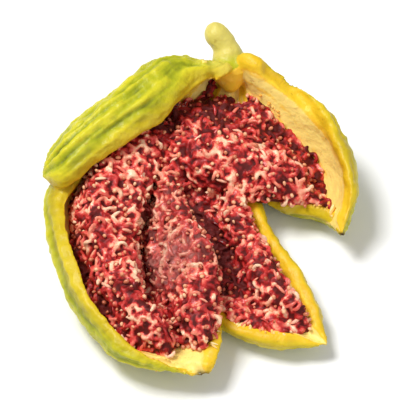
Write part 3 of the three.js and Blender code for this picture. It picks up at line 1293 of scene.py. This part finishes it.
class Ground:
    """The open face of the pulp, and the places on it that already hold a grain."""

    LOWEST = 1.6      # no grain stands lower than this, in millimetres
    CLEAR = 0.1       # least distance from the rind, in millimetres

    def __init__(self, mesh: bpy.types.Mesh, rind: BVHTree) -> None:
        """Measures the pulp.

        Args:
            mesh: The smooth pulp, in millimetres.
            rind: The rind's surface, in metres, which hides some of the pulp.
        """
        self.mesh = mesh
        self.rind = rind
        self.taken: list[Vector] = []
        self.areas = np.empty(len(mesh.polygons))
        mesh.polygons.foreach_get("area", self.areas)

    def places(self, gap: float, share: float, chance: random.Random
               ) -> list[tuple[Vector, Vector]]:
        """Picks places that no rind covers, each clear of the others.

        Args:
            gap: The least distance between two, in millimetres.
            share: How many of the free places are used.
            chance: The random numbers.

        Returns:
            Each place in the fruit's own frame, and its normal.
        """
        polygons, vertices = self.mesh.polygons, self.mesh.vertices
        cells: dict[tuple[int, ...], list[Vector]] = {}
        for point in self.taken:
            cells.setdefault(self._cell(point, gap), []).append(point)
        picks = chance.choices(range(len(polygons)), cum_weights=np.cumsum(self.areas).tolist(),
                               k=int(self.areas.sum() / gap ** 2 * 5))
        found = []
        for pick in picks:
            face = polygons[pick]
            place = face.center.lerp(vertices[chance.choice(face.vertices)].co, chance.random() * 0.8)
            if (place.z < self.LOWEST or face.normal.z < -0.2 or self._crowded(place, gap, cells)
                    or self._covered(place) or chance.random() > share):
                continue
            cells.setdefault(self._cell(place, gap), []).append(place)
            self.taken.append(place)
            found.append((place, face.normal.copy()))
        return found

    def _covered(self, place: Vector) -> bool:
        """Tests whether a place lies in the rind or touches it.

        Args:
            place: The place, in the fruit's own frame.

        Returns:
            True if it does.
        """
        world = (place + Vector(SHIFT)) * MM
        near, normal, _, distance = self.rind.find_nearest(world)
        return (world - near).dot(normal) < 0 or distance < self.CLEAR * MM

    @staticmethod
    def _cell(place: Vector, gap: float) -> tuple[int, ...]:
        """The grid cell that holds a place."""
        return tuple(int(math.floor(value / gap)) for value in place)

    def _crowded(self, place: Vector, gap: float, cells: dict[tuple[int, ...], list[Vector]]
                 ) -> bool:
        """Tests whether another grain is too near.

        Args:
            place: The place.
            gap: The least distance between two grains.
            cells: The grains so far, by grid cell.

        Returns:
            True if one is nearer than the gap.
        """
        x, y, z = self._cell(place, gap)
        return any((place - other).length < gap
                   for i in (x - 1, x, x + 1) for j in (y - 1, y, y + 1) for k in (z - 1, z, z + 1)
                   for other in cells.get((i, j, k), ()))


@dataclass
class Fringe:
    """Pale teeth of torn rind that point in over the pulp along the rims, in millimetres."""

    lobes: Sequence[Lobe]
    finish: GrainFinish
    gap: float = 0.6
    size: float = 0.72
    seed: int = 12

    def build(self) -> bpy.types.Object:
        """Models the fringe.

        Returns:
            The finished piece.
        """
        chance = random.Random(self.seed)
        tooth = Grains("fig_tooth", Form.TOOTH, self.finish, "fig_skin", self.gap, self.size,
                       0.3, 30, 0.2, self.seed, (0.2, 1.0)).template()
        whole = bmesh.new()
        tints: list[float] = []
        for lobe in self.lobes:
            for sign, edge in zip((-1, 1), lobe.sizes.fringe):
                count = int(lobe.keel.length * 0.8 / self.gap)
                along = np.linspace(0.14, 0.9, count)
                along += np.array([chance.uniform(-0.006, 0.006) for _ in along])
                foot = lobe.surface(along, np.full(count, edge), np.full(count, 0.85))
                head = lobe.surface(along, np.full(count, edge - sign * 0.12), np.full(count, 1.0),
                                    0.9)
                for place, aim in zip(foot, unit(head - foot)):
                    if place[2] < 2.0 or chance.random() < 0.25:
                        continue
                    jitter = Vector([chance.gauss(0, 0.3) for _ in range(3)])
                    turn = (Vector(aim) + jitter).to_track_quat("Z", "Y").to_matrix().to_4x4()
                    copy = tooth.copy()
                    copy.transform(Matrix.Translation(place) @ turn
                                   @ Matrix.Scale(self.size * chance.uniform(0.6, 1.3), 4))
                    whole.from_mesh(copy)
                    bpy.data.meshes.remove(copy)
                    tints.append(chance.random())
        mesh = bpy.data.meshes.new("fig_fringe")
        whole.to_mesh(mesh)
        whole.free()
        store(mesh, "tint", np.repeat(tints, len(tooth.vertices)))
        store(mesh, "bloom", np.zeros(len(mesh.vertices)))
        bpy.data.meshes.remove(tooth)
        return finish_piece(mesh, "fig_fringe", self.finish.material())


FLESH_GRAINS = (
    Grains("fig_loops", Form.LOOP, STRAND_FINISH, "fig_pulp", gap=1.5, size=0.98, spread=0.35,
           lean=70, sink=0.1, seed=3, tint=(0.2, 1.1)),
    Grains("fig_commas", Form.COMMA, STRAND_FINISH, "fig_pulp", gap=0.98, size=0.92, spread=0.35,
           lean=60, sink=0.05, seed=4, tint=(0.05, 1.05)),
    Grains("fig_drupelets", Form.DRUPELET, STRAND_FINISH, "fig_pulp", gap=0.78, size=0.88,
           spread=0.3, lean=60, sink=-0.1, seed=8, tint=(0.0, 0.9)),
)
TOP_GRAINS = (
    Grains("fig_threads", Form.THREAD, STRAND_FINISH, "fig_seed", gap=2.6, size=0.8, spread=0.3,
           lean=50, sink=0.0, seed=2, tint=(0.3, 0.95), share=0.4),
    Grains("fig_seeds", Form.SEED, SEED_FINISH, "fig_seed", gap=1.2, size=0.72, spread=0.3,
           lean=60, sink=-0.5, seed=5, tint=(0.0, 0.9), share=0.2),
)


# ---- studio ---------------------------------------------------------------------------------

@dataclass
class Studio:
    """White floor, soft lights and the camera, in metres, degrees and watts."""

    elevation: float = 50.0
    distance: float = 0.42
    lens: float = 230.0
    floor_width: float = 4.0
    key_power: float = 2.4
    fill_power: float = 0.6
    sky: float = 0.40
    floor_finish: FloorFinish = FloorFinish()

    def build(self) -> None:
        """Makes the floor, the lights and the camera."""
        self._floor()
        self._light("key_light", (-0.20, 0.04, 0.46), 0.18, self.key_power)
        self._light("fill_light", (0.30, -0.30, 0.28), 0.30, self.fill_power)
        world = bpy.data.worlds.new("studio_sky")
        world.use_nodes = True
        background = world.node_tree.nodes["Background"]
        background.inputs["Color"].default_value = rgb(1.0, 1.0, 1.0)
        background.inputs["Strength"].default_value = self.sky
        bpy.context.scene.world = world
        self._camera()
        bpy.context.scene.view_settings.view_transform = "Standard"

    def _floor(self) -> None:
        """Lays the paper under the fruit."""
        shape = bmesh.new()
        bmesh.ops.create_grid(shape, x_segments=8, y_segments=8, size=self.floor_width / 2)
        mesh = bpy.data.meshes.new("paper_floor")
        shape.to_mesh(mesh)
        shape.free()
        mesh.materials.append(self.floor_finish.material())
        floor = bpy.data.objects.new("paper_floor", mesh)
        bpy.context.scene.collection.objects.link(floor)

    @staticmethod
    def _light(name: str, place: Point, size: float, power: float) -> None:
        """Hangs one square softbox aimed at the fruit.

        Args:
            name: The light's name.
            place: Where it hangs.
            size: The length of its side.
            power: How bright it is.
        """
        data = bpy.data.lights.new(name, "AREA")
        data.size = size
        data.energy = power
        light = bpy.data.objects.new(name, data)
        light.location = place
        light.rotation_euler = (-Vector(place)).to_track_quat("-Z", "Y").to_euler()
        bpy.context.scene.collection.objects.link(light)

    def _camera(self) -> None:
        """Sets the camera in front of the open lobes, looking down."""
        low, high = (Vector(corner) for corner in CAD_BOX)
        target = (low + high) / 2
        angle = math.radians(self.elevation)
        back = Vector((0, -math.cos(angle), math.sin(angle)))
        data = bpy.data.cameras.new("camera")
        data.lens = self.lens
        camera = bpy.data.objects.new("camera", data)
        camera.location = target + back * self.distance
        camera.rotation_euler = (-back).to_track_quat("-Z", "Y").to_euler()
        bpy.context.scene.collection.objects.link(camera)
        bpy.context.scene.camera = camera


def main() -> None:
    """Builds the fruit piece by piece, and the studio round it."""
    logging.basicConfig(level=logging.INFO, format="%(name)s %(message)s")
    neck = Neck()
    lobes = [Lobe(sizes, neck) for sizes in (HOOD, BOWL, TONGUE, DISH)]
    rind = Rind(lobes, Stem()).build()
    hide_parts(CAD_NODE)
    cover = BVHTree.FromObject(rind, bpy.context.evaluated_depsgraph_get())
    pulp = Pulp(lobes)
    base = pulp.base()
    ground = Ground(base, cover)
    pulp.build(base, [grains.grow(ground) for grains in FLESH_GRAINS])
    ground.taken.clear()
    for grains in TOP_GRAINS:
        grains.build(ground)
    Fringe(lobes, FRINGE_FINISH).build()
    Studio().build()


if __name__ == "__main__":
    main()
